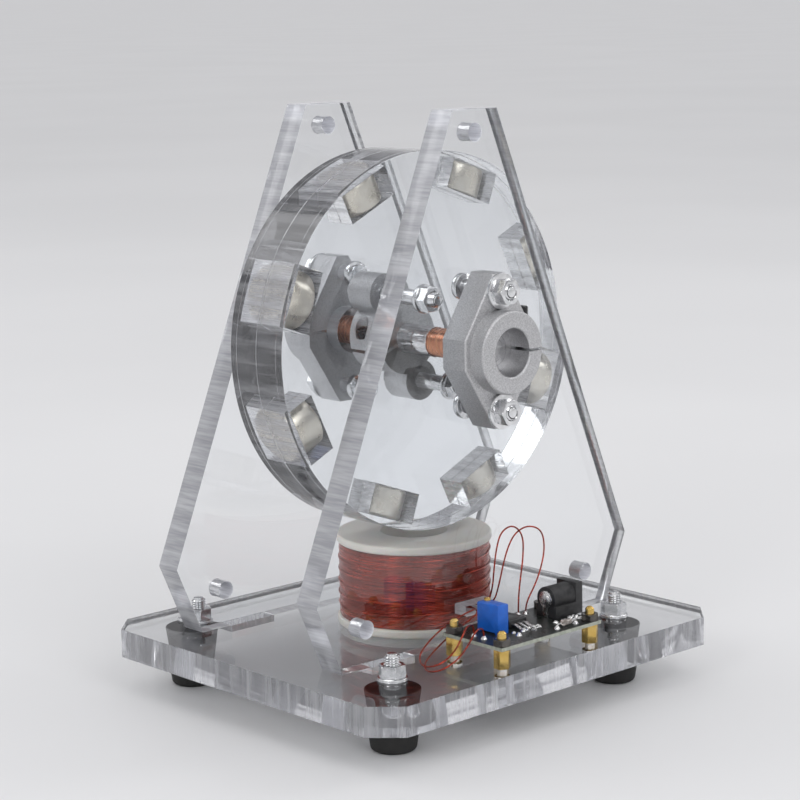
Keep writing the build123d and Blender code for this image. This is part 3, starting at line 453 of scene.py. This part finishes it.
def sheet_piece(name, outlines, thickness, materials, node, place, pick=wall_or_face):
    """Cut one sheet from outlines drawn flat."""
    bm = bmesh.new()
    edges = [edge for outline in outlines(bm) for edge in outline]
    faces = fill_between(bm, edges)
    made = bmesh.ops.extrude_face_region(bm, geom=faces)["geom"]
    bmesh.ops.translate(bm, vec=(0, 0, thickness), verts=[item for item in made if isinstance(item, bmesh.types.BMVert)])
    bmesh.ops.recalc_face_normals(bm, faces=bm.faces)
    break_edges(bm, edge_break)
    bm.normal_update()
    piece = piece_from(bm, name, materials, [node], place, pick=pick)
    print(name, len(piece.data.polygons), "faces")
    return piece


def upright_place(rear_y):
    """A sheet drawn in X and Y stands up in X and Z, and grows forward from rear_y."""
    return Matrix.Translation((0, rear_y, 0)) @ Matrix.Rotation(math.radians(90), 4, "X")


print("sheet helpers ready")

# %% [markdown]
# ## Uprights and base
# Both uprights have the same outline: a narrow top, straight sides down to a knee, feet with two tabs in
# the base. Three holes take tie rods that the photograph doesn't have. The front one also has the slot
# that lets the leads through.

# %% Uprights
front_low, front_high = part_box("front_frame")
rear_low, rear_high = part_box("rear_frame")
base_top = base_high.z
half_side = [(31.0, 13.0), (50.0, 13.0), (50.0, 23.0), (62.8, 23.0), (73.0, 46.9), (10.2, front_high.z / mm)]
tab_root = (31.0, 23.0)


def upright_outlines(with_slot):
    """Outline and holes of one upright, drawn flat with the height as Y."""
    def draw(bm):
        right_side = [tab_root, *half_side]
        left_side = [(-x, z) for x, z in reversed(right_side)]
        lines = [outline_of(bm, [(x * mm, z * mm) for x, z in right_side + left_side])]
        for x, z, radius in ((0, 193.5, 3.0), (52.0, 36.0, 3.0), (-52.0, 36.0, 3.0), (0, axle_z / mm, 8.0),
                             (0, axle_z / mm + 20, 2.65), (0, axle_z / mm - 20, 2.65)):
            lines.append(ring_of(bm, radius * mm, (x * mm, z * mm), 64))
        if with_slot:
            lines.append(outline_of(bm, [(x * mm, z * mm) for x, z in ((-7, 31.4), (7, 31.4), (7, 34.8), (-7, 34.8))]))
        return lines
    return draw


upright_materials = [clear_face, edge_of_upright, wall_of_hole]
frosted_holes = [((x * mm, z * mm), 3.6 * mm) for x, z in ((0, 193.5), (52.0, 36.0), (-52.0, 36.0))]
frosted_holes.append(((0, 33.1 * mm), 7.6 * mm))
front_upright = sheet_piece("front_upright", upright_outlines(True), front_high.y - front_low.y, upright_materials,
                            "front_frame", upright_place(front_high.y), small_hole_picker(frosted_holes))
rear_upright = sheet_piece("rear_upright", upright_outlines(False), rear_high.y - rear_low.y, upright_materials,
                           "rear_frame", upright_place(rear_high.y), small_hole_picker(frosted_holes[:3]))

# %% [markdown]
# The base has cut corners, four slots for the uprights' tabs, four holes for the feet and four for the
# board. It is drawn from above and grows upward. A film of air stays between it and the tabs, as between
# any two pieces of glass that only touch.

# %% Base
base_width, base_depth = base_high.x - base_low.x, base_high.y - base_low.y
foot_spots = [(x, y) for x in (-54.5, 50.5) for y in (-48.4, 56.0)]
board_spots = [(x, y) for x in (-21.1, 20.7) for y in (-64.6, -42.5)]


def base_outlines(bm):
    """Outline of the base, slots and holes."""
    x, y, corner = base_width / 2, base_depth / 2, 9.5 * mm
    octagon = [(x - corner, -y), (x, -y + corner), (x, y - corner), (x - corner, y), (corner - x, y),
               (-x, y - corner), (-x, corner - y), (corner - x, -y)]
    lines = [outline_of(bm, octagon)]
    for side in (-1, 1):
        for low, high in ((front_low.y, front_high.y), (rear_low.y, rear_high.y)):
            near, far = (side * value * mm for value in (30.9, 50.1))
            low, high = low - 0.1 * mm, high + 0.1 * mm
            lines.append(outline_of(bm, [(near, low), (far, low), (far, high), (near, high)]))
    lines += [ring_of(bm, 2.65 * mm, (x * mm, y * mm), 48) for x, y in foot_spots]
    lines += [ring_of(bm, 1.65 * mm, (x * mm, y * mm), 40) for x, y in board_spots]
    return lines


base_sheet = sheet_piece("base_sheet", base_outlines, base_high.z - base_low.z - air_film, [clear_face, edge_of_base],
                         "base_plate", Matrix.Translation((0, 0, base_low.z)))

# %% [markdown]
# ## Wheel
# The wheel is four discs clamped between the hub and two nuts. The middle two have pockets for the
# magnets, the outer two close them. Each outer disc is drawn together with the thick one that it lies on,
# with a fine groove between them on the rim, so that light crosses no more surfaces than it must.

# %% Wheel halves
magnet_angles = [-25.0 + 45.0 * number for number in range(8)]
pocket_wide, pocket_deep, pocket_radius = 21.0, 10.6, 56.5
bore_radius, bolt_angle, bolt_circle, bolt_hole = 5.1, -21.0, 16.5, 2.65
seam = 0.16 * mm
rim_steps = 288


def clock(angle, radius):
    """Place on the wheel, with the angle clockwise from the top, seen from the front."""
    return radius * math.sin(math.radians(angle)) * mm, radius * math.cos(math.radians(angle)) * mm


def wheel_half(name, nodes, layer, cover, mating_y, forward):
    """Thick disc with pockets open at the mating face, and the cover behind it."""
    bm = bmesh.new()
    rim = ring_of(bm, wheel_radius, steps=rim_steps)
    through = [ring_of(bm, bore_radius * mm, steps=64)]
    through += [ring_of(bm, bolt_hole * mm, clock(bolt_angle + 180 * side, bolt_circle), 48) for side in (0, 1)]
    pockets = []
    for angle in magnet_angles:
        centre = Vector(clock(angle, pocket_radius))
        along = Vector(clock(angle + 90, 1.0)) * (pocket_wide / 2)
        out = Vector(clock(angle, 1.0)) * (pocket_deep / 2)
        pockets.append(outline_of(bm, [centre + along + out, centre - along + out, centre - along - out,
                                       centre + along - out]))
    fill_between(bm, rim + [edge for line in through + pockets for edge in line])
    for pocket in pockets:
        bottom = push(bm, pocket, layer)
        bmesh.ops.contextual_create(bm, geom=bottom)
    far = push(bm, rim, layer - seam)
    far = push(bm, far, seam, seam)
    far = push(bm, far, seam, -seam)
    far = push(bm, far, cover - seam)
    far += [edge for line in through for edge in push(bm, line, layer + cover)]
    fill_between(bm, far)
    bmesh.ops.remove_doubles(bm, verts=bm.verts, dist=1e-7)
    bmesh.ops.recalc_face_normals(bm, faces=bm.faces)
    break_edges(bm, edge_break, sharp=60)
    bm.normal_update()
    tilt = Matrix.Rotation(math.radians(90 if forward else -90), 4, "X")
    mirror = Matrix.Identity(4) if forward else Matrix.Diagonal((1, -1, 1, 1))
    place = Matrix.Translation((0, mating_y, axle_z)) @ tilt @ mirror
    for face in bm.faces:
        reach = face.calc_center_median().xy.length
        face.material_index = wall_or_face(face) * (1 if reach > wheel_radius - 1 * mm else 2)
    if not forward:
        bmesh.ops.reverse_faces(bm, faces=bm.faces)
    piece = piece_from(bm, name, [clear_face, edge_of_rim, wall_of_pocket], nodes, place)
    print(name, len(piece.data.polygons), "faces")
    return piece


front_half = wheel_half("wheel_front_half", ["rotor_front_layer", "rotor_front_cover"],
                        layer_y[2] - layer_y[1] - air_film, layer_y[1] - layer_y[0], layer_y[2] - air_film, True)
rear_half = wheel_half("wheel_rear_half", ["rotor_rear_layer", "rotor_rear_cover"],
                       layer_y[3] - layer_y[2] - air_film, layer_y[4] - layer_y[3], layer_y[2] + air_film, False)

# %% [markdown]
# ## Screw threads
# A real thread is rolled: its ridge stands as far above the blank as its groove lies below. Here the
# shank shrinks to the groove's depth and one three-sided ridge is spun round it for one turn, which is
# then copied along the screw. The same helix later winds the coil.

# %% Helix and thread
def helix(bm, section, turns, pitch, steps):
    """Spin a section one turn up the Z axis, copy that turn, and close both ends."""
    ring = section + list({edge for vert in section for edge in vert.link_edges})
    bmesh.ops.spin(bm, geom=ring, cent=(0, 0, 0), axis=(0, 0, 1), dvec=(0, 0, pitch / steps), angle=2 * math.pi,
                   steps=steps, use_merge=False)
    turn = bm.verts[:] + bm.edges[:] + bm.faces[:]
    for number in range(1, turns):
        made = bmesh.ops.duplicate(bm, geom=turn)["geom"]
        bmesh.ops.translate(bm, vec=(0, 0, number * pitch), verts=[v for v in made if isinstance(v, bmesh.types.BMVert)])
    bmesh.ops.remove_doubles(bm, verts=bm.verts, dist=1e-6)
    bmesh.ops.holes_fill(bm, edges=[edge for edge in bm.edges if edge.is_boundary], sides=0)
    bmesh.ops.recalc_face_normals(bm, faces=bm.faces)


def ridge_mesh(radius, depth, pitch, length):
    """The ridge of a screw thread, from z = 0 upward."""
    bm = bmesh.new()
    size = (depth + 0.04 * mm) / 1.5
    section = bmesh.ops.create_circle(bm, radius=size, segments=3, cap_ends=False)["verts"]
    reach = max(vert.co.y for vert in section)
    stand = Matrix.Translation((radius - reach, 0, 0.5 * pitch)) @ Matrix(((0, 1, 0, 0), (0, 0, 1, 0), (0.46 * pitch / (0.866 * size), 0, 0, 0), (0, 0, 0, 1)))
    bmesh.ops.transform(bm, matrix=stand, verts=section)
    helix(bm, section, max(1, int(length / pitch - 1)), pitch, 18)
    mesh = bpy.data.meshes.new("ridge")
    bm.to_mesh(mesh)
    bm.free()
    return mesh


def loose_parts(bm):
    """The vertices of each connected part."""
    parts = []
    for vert in bm.verts:
        vert.tag = False
    for seed in bm.verts:
        if not seed.tag:
            seed.tag = True
            part = [seed]
            for vert in part:
                for other in [edge.other_vert(vert) for edge in vert.link_edges]:
                    if not other.tag:
                        other.tag = True
                        part.append(other)
            parts.append(part)
    return parts


def cut_thread(bm, axis, radius, root):
    """Thin the shank of every screw in the mesh to the groove's depth, and return where its ridge goes."""
    places = []
    flat = [index for index in range(3) if index != axis]
    for part in loose_parts(bm):
        middle = [(min(vert.co[index] for vert in part) + max(vert.co[index] for vert in part)) / 2 for index in flat]
        far = [math.hypot(*(vert.co[index] - centre for index, centre in zip(flat, middle))) for vert in part]
        heights = [vert.co[axis] for vert in part]
        head = [height for height, reach in zip(heights, far) if reach > radius * 1.15]
        low, high = min(heights), max(heights)
        if sum(head) / len(head) > (low + high) / 2:
            end, high = low, min(head)
        else:
            end, low = high, max(head)
        for vert, reach, height in zip(part, far, heights):
            if low - 0.01 * mm < height < high + 0.01 * mm and 0.75 * radius < reach < radius * 1.02:
                goal = root * (0.86 if abs(height - end) < 0.01 * mm else 1.0)
                for index, centre in zip(flat, middle):
                    vert.co[index] = centre + (vert.co[index] - centre) * goal / reach
        spot = Vector((0, 0, 0))
        for index, centre in zip(flat, middle):
            spot[index] = centre
        spot[axis] = low
        places.append((spot, high - low))
    lie = Matrix.Identity(4) if axis == 2 else Matrix.Rotation(-math.pi / 2, 4, "X")
    return [(Matrix.Translation(spot) @ lie, length) for spot, length in places]


threads = {
    "support_bolts": (1, 2.5, 0.42, 0.8), "hub_bolts": (1, 2.5, 0.42, 0.8), "foot_bolts": (2, 2.5, 0.42, 0.8),
    "standoff_screws": (2, 1.5, 0.27, 0.5),
}
print(len(threads), "kinds of screw get a thread")

# %% [markdown]
# ## Dressed solids
# Most rigid pieces already have the right shape in the CAD model, but its triangles are loose and its
# edges are knife-sharp. A copy is merged, its flat faces are joined, and every sharp edge is rounded by a
# fraction of a millimetre, as tumbling or plating leaves it.

# %% Dress the rigid pieces
def dressed(node, edge, segments=2, sharp=35, crease=35, materials=None, pick=None, widen=1):
    """Rounded copy of one CAD node, with a thread where it is a screw."""
    bm = bmesh.new()
    bm.from_mesh(frame["nodes"][node].data)
    bmesh.ops.remove_doubles(bm, verts=bm.verts, dist=1e-6)
    bmesh.ops.dissolve_limit(bm, angle_limit=math.radians(1), verts=bm.verts, edges=bm.edges, use_dissolve_boundaries=False)
    ridges = []
    if node in threads:
        axis, radius, depth, pitch = threads[node]
        ridges = cut_thread(bm, axis, radius * mm, (radius - depth) * mm)
    break_edges(bm, edge * mm, segments, sharp)
    for place, length in ridges:
        ridge = ridge_mesh(radius * mm, depth * mm, pitch * mm, length)
        ridge.transform(place)
        bm.from_mesh(ridge)
    if widen != 1:
        for part in loose_parts(bm):
            middle = (min(vert.co.x for vert in part) + max(vert.co.x for vert in part)) / 2
            for vert in part:
                vert.co.x = middle + (vert.co.x - middle) * widen
    bm.normal_update()
    return piece_from(bm, node + "_dressed", materials or [finishes[slot_of[node]]], [node], sharp=crease, pick=pick)


rounding = {
    "front_support": (0.2, 2, 22, 24), "rear_support": (0.2, 2, 22, 24), "rotor_hub": (0.25, 2, 22, 24),
    "support_nuts": (0.06, 1, 30, 22), "foot_nuts": (0.06, 1, 30, 22), "hub_nuts": (0.06, 1, 30, 22),
    "board_nuts": (0.05, 1, 30, 22),
    "support_washers": (0.12, 2), "foot_washers": (0.12, 2), "hub_washers": (0.12, 2),
    "support_bolts": (0.25, 2), "foot_bolts": (0.25, 2), "hub_bolts": (0.25, 2), "standoff_screws": (0.15, 2),
    "support_clamp_screws": (0.12, 2), "hub_clamp_screw": (0.12, 2),
    "rotor_magnets": (0.2, 2), "shaft": (0.1, 2), "front_sleeve": (0.12, 2), "rear_sleeve": (0.12, 2),
    "board_standoffs": (0.12, 2), "trimmer_screw": (0.1, 2), "trimmer_body": (0.12, 2),
    "jack_housing": (0.15, 2), "jack_pin": (0.1, 2), "jack_terminal": (0.08, 2),
    "transistor_body": (0.12, 2), "bobbin": (0.25, 2), "rubber_feet": (0.4, 2),
    "solder_joints": (0.12, 2), "diode_body": (0.1, 2),
}
for node, values in rounding.items():
    dressed(node, *values)
dressed("circuit_board", 0.05, 1, materials=[finishes["black_board"], finishes["board_edge"]], pick=wall_or_face)
dressed("transistor_leads", 0.06, 1, widen=1.9)
print(len(rounding) + 2, "dressed pieces")

# %% [markdown]
# ## Solder and leads
# The board was soldered by hand: beside the socket lie fat bright lumps, and in front of the transistor
# the clipped leads fan out like a star. Each lump is a spun drop that noise pulls out of round, each
# clipping a thin spun pin. The transistor's leads are half again as wide where they leave its body.

# %% Solder lumps, clippings and the socket's rivet
def spun(bm, outline, place, steps=20):
    """Spin an outline of radius and height round Z, merge its seam and move it to its place."""
    fresh = bmesh.new()
    verts = [fresh.verts.new((radius * mm, 0, height * mm)) for radius, height in outline]
    edges = [fresh.edges.new(pair) for pair in zip(verts, verts[1:])]
    bmesh.ops.spin(fresh, geom=verts + edges, cent=(0, 0, 0), axis=(0, 0, 1), angle=2 * math.pi, steps=steps,
                   use_merge=True)
    bmesh.ops.remove_doubles(fresh, verts=fresh.verts, dist=1e-7)
    bmesh.ops.recalc_face_normals(fresh, faces=fresh.faces)
    bmesh.ops.transform(fresh, matrix=place, verts=fresh.verts)
    mesh = bpy.data.meshes.new("spun")
    fresh.to_mesh(mesh)
    fresh.free()
    bm.from_mesh(mesh)


board_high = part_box("circuit_board")[1].z
drop = [(0, 0), (1.0, 0), (0.95, 0.22), (0.7, 0.55), (0.35, 0.78), (0, 0.86)]
lumps = [(13.7, -59.6, 1.2), (17.2, -58.6, 1.4), (19.8, -57.8, 1.1), (16.6, -60.9, 1.1), (20.0, -60.8, 1.0),
         (10.6, -58.6, 0.9), (-17.6, -62.2, 0.8), (-8.2, -57.2, 0.7), (3.4, -57.9, 0.8)]
bm = bmesh.new()
for x, y, size in lumps:
    spun(bm, drop, Matrix.Translation((x * mm, y * mm, board_high)) @ Matrix.Scale(size, 4))
for vert in bm.verts:
    pull = noise.noise_vector(vert.co / (1.1 * mm)) * 0.3 * mm
    vert.co += Vector((pull.x, pull.y, 0)) if vert.co.z > board_high + 0.01 * mm else Vector((0, 0, 0))
pin = [(0, 0), (0.26, 0), (0.26, 3.1), (0.12, 3.3), (0, 3.3)]
for heading, rise in ((-150, 24), (-112, 34), (-70, 20), (-35, 30), (172, 36), (-92, 8)):
    spin_to = Matrix.Rotation(math.radians(heading), 4, "Z") @ Matrix.Rotation(math.radians(90 - rise), 4, "Y")
    spun(bm, pin, Matrix.Translation((-2.6 * mm, -59.4 * mm, board_high + 0.45 * mm)) @ spin_to, 10)
terminal_low, terminal_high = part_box("jack_terminal")
pin_low, pin_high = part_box("jack_pin")
rivet = [(0.9, 0), (0.9, 0.28), (1.05, 0.4), (1.85, 0.4), (2.0, 0.28), (2.0, 0), (0.9, 0)]
middle = Vector((terminal_low.x, (pin_low.y + pin_high.y) / 2, (pin_low.z + pin_high.z) / 2))
spun(bm, rivet, Matrix.Translation(middle) @ Matrix.Rotation(-math.pi / 2, 4, "Y"), 40)
bm.normal_update()
mesh = bpy.data.meshes.new("board_solder")
bm.to_mesh(mesh)
bm.free()
mesh.materials.append(finishes["tinned_metal"])
mesh.polygons.foreach_set("use_smooth", [True] * len(mesh.polygons))
mesh.set_sharp_from_angle(angle=math.radians(50))
join(bpy.data.objects.new("board_solder", mesh), "solder_joints")
print(len(lumps), "lumps and six clippings")

# %% [markdown]
# ## Winding
# The coil's outer layer is hand-wound: thin wire in turns that nearly touch, never quite level, with a
# few that cross the others. One circle is spun up the coil, and slow noise then moves the wire, so that
# neighbours wander together.

# %% Winding
wire_radius, wire_turns, wire_steps = 0.27, 47, 72
core_low, core_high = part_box("winding_core")
core_radius = (core_high.x - core_low.x) / 2
wire_pitch = (core_high.z - core_low.z - 2.4 * wire_radius * mm) / wire_turns


def wire_helix(turns, pitch, radius, steps, low):
    """A six-sided wire wound round the coil's axis, from a height upward."""
    bm = bmesh.new()
    section = bmesh.ops.create_circle(bm, radius=wire_radius * mm, segments=6, cap_ends=False)["verts"]
    stand = Matrix.Translation((radius, 0, low)) @ Matrix.Rotation(math.pi / 2, 4, "X")
    bmesh.ops.transform(bm, matrix=stand, verts=section)
    helix(bm, section, turns, pitch, steps)
    return bm


def wander(bm, sideways, outward, seed):
    """Move the wire by slow noise, sideways along the coil and outward from it."""
    for vert in bm.verts:
        spot = Vector((vert.co.x / 16, vert.co.y / 16, vert.co.z / 2.2)) / mm + Vector((seed, 0, 0))
        shift = noise.noise(spot) * sideways * mm
        lift = abs(noise.noise(spot * 1.7 + Vector((0, 9, 4)))) * outward * mm
        flat = Vector((vert.co.x, vert.co.y, 0)).normalized()
        vert.co += flat * lift + Vector((0, 0, shift))


bm = wire_helix(wire_turns, wire_pitch, core_radius + wire_radius * mm * 0.8, wire_steps,
                core_low.z + 1.2 * wire_radius * mm)
wander(bm, 0.16, 0.16, 3.0)
strays = wire_helix(5, 4.1 * mm, core_radius + wire_radius * mm * 2.2, wire_steps, core_low.z + 2.5 * mm)
wander(strays, 0.9, 0.2, 11.0)
stray_mesh = bpy.data.meshes.new("stray_turns")
strays.to_mesh(stray_mesh)
strays.free()
bm.from_mesh(stray_mesh)

enamel, tree, shader = new_material("enamelled_wire", Metallic=0.7, Coat_Roughness=0.2)
spot = place_on_piece(tree, (0.05, 0.05, 1))
streaks = cloud(spot, 0.8, 2.0).between(0.3, 0.7)
link(shader, Base_Color=streaks.mix((0.22, 0.018, 0.008, 1), (0.46, 0.05, 0.02, 1)), Roughness=streaks * 0.08 + 0.2,
     Coat_Weight=streaks * 0.1 + 0.05)
finishes["enamelled_wire"] = enamel
winding = piece_from(bm, "winding_wire", [enamel], ["winding"], Matrix.Translation((0, coil_y, 0)), sharp=80)
for lead in leads:
    lead.data.materials.append(enamel)
print("winding", len(winding.data.polygons), "faces")

# %% [markdown]
# ## Nodes that stay
# The rest of the CAD nodes have the right shape as they are, mostly inside the bearings. They only get
# their finish.

# %% Finish the CAD nodes
for node, cad in frame["nodes"].items():
    material = clear_face if slot_of[node] == "clear_acrylic" else finishes[slot_of[node]]
    cad.data.materials.clear()
    cad.data.materials.append(material)
print("CAD nodes finished")

# %% [markdown]
# ## Studio
# A wide pale floor, soft even light from all round, and three large lamps. The world looks darker from
# above in reflections, so that clear edges and bright metal get dark lines beside their lights.

# %% Floor, world and lamps
bm = bmesh.new()
bmesh.ops.create_grid(bm, x_segments=4, y_segments=4, size=60.0)
floor_mesh = bpy.data.meshes.new("floor")
bm.to_mesh(floor_mesh)
bm.free()
floor = bpy.data.objects.new("floor", floor_mesh)
bpy.context.scene.collection.objects.link(floor)
floor_mesh.materials.append(finish("studio_floor", (0.71, 0.71, 0.72), (0.73, 0.73, 0.74), 400.0, (0.55, 0.6)))

world = bpy.data.worlds.new("studio")
world.use_nodes = True
bpy.context.scene.world = world
tree = world.node_tree
start = Signal(tree)
height = start.add("SeparateXYZ", inputs={0: start.add("TexCoord", output="Generated")}, output=2)
horizon, middle, overhead = (0.74, 0.74, 0.75, 1), (0.3, 0.3, 0.32, 1), (0.8, 0.8, 0.81, 1)
seen_sky = height.between(0.5, 0.9).mix(height.between(0.06, 0.4).mix(horizon, middle), overhead)
rays = [start.add("LightPath", output=f"Is {kind} Ray") for kind in ("Camera", "Glossy", "Transmission")]
seen = start.maths("MAXIMUM", start.maths("MAXIMUM", rays[0], rays[1]), rays[2])
background = tree.nodes["Background"]
tree.links.new(seen.mix((0.86, 0.86, 0.87, 1), seen_sky).socket, background.inputs["Color"])
background.inputs["Strength"].default_value = 1.0


def lamp(name, place, size, watts, colour=(1, 1, 1)):
    """Square lamp that faces the wheel."""
    data = bpy.data.lights.new(name, "AREA")
    data.shape, data.size, data.energy, data.color = "SQUARE", size, watts, colour
    made = bpy.data.objects.new(name, data)
    made.location = place
    made.rotation_euler = (Vector((0, 0, 0.1)) - Vector(place)).to_track_quat("-Z", "Y").to_euler()
    bpy.context.scene.collection.objects.link(made)
    return made


lamp("key", (-0.25, -1.3, 1.15), 0.75, 5.0)
lamp("left", (-1.5, -0.4, 0.95), 0.55, 3.4)
lamp("side", (1.4, -0.6, 0.95), 0.65, 3.8)
lamp("rear", (-0.6, 1.3, 1.2), 0.8, 3.8)
bpy.context.scene.view_settings.view_transform = "Standard"
print("studio ready")

# %% Update the scene
bpy.context.view_layer.update()
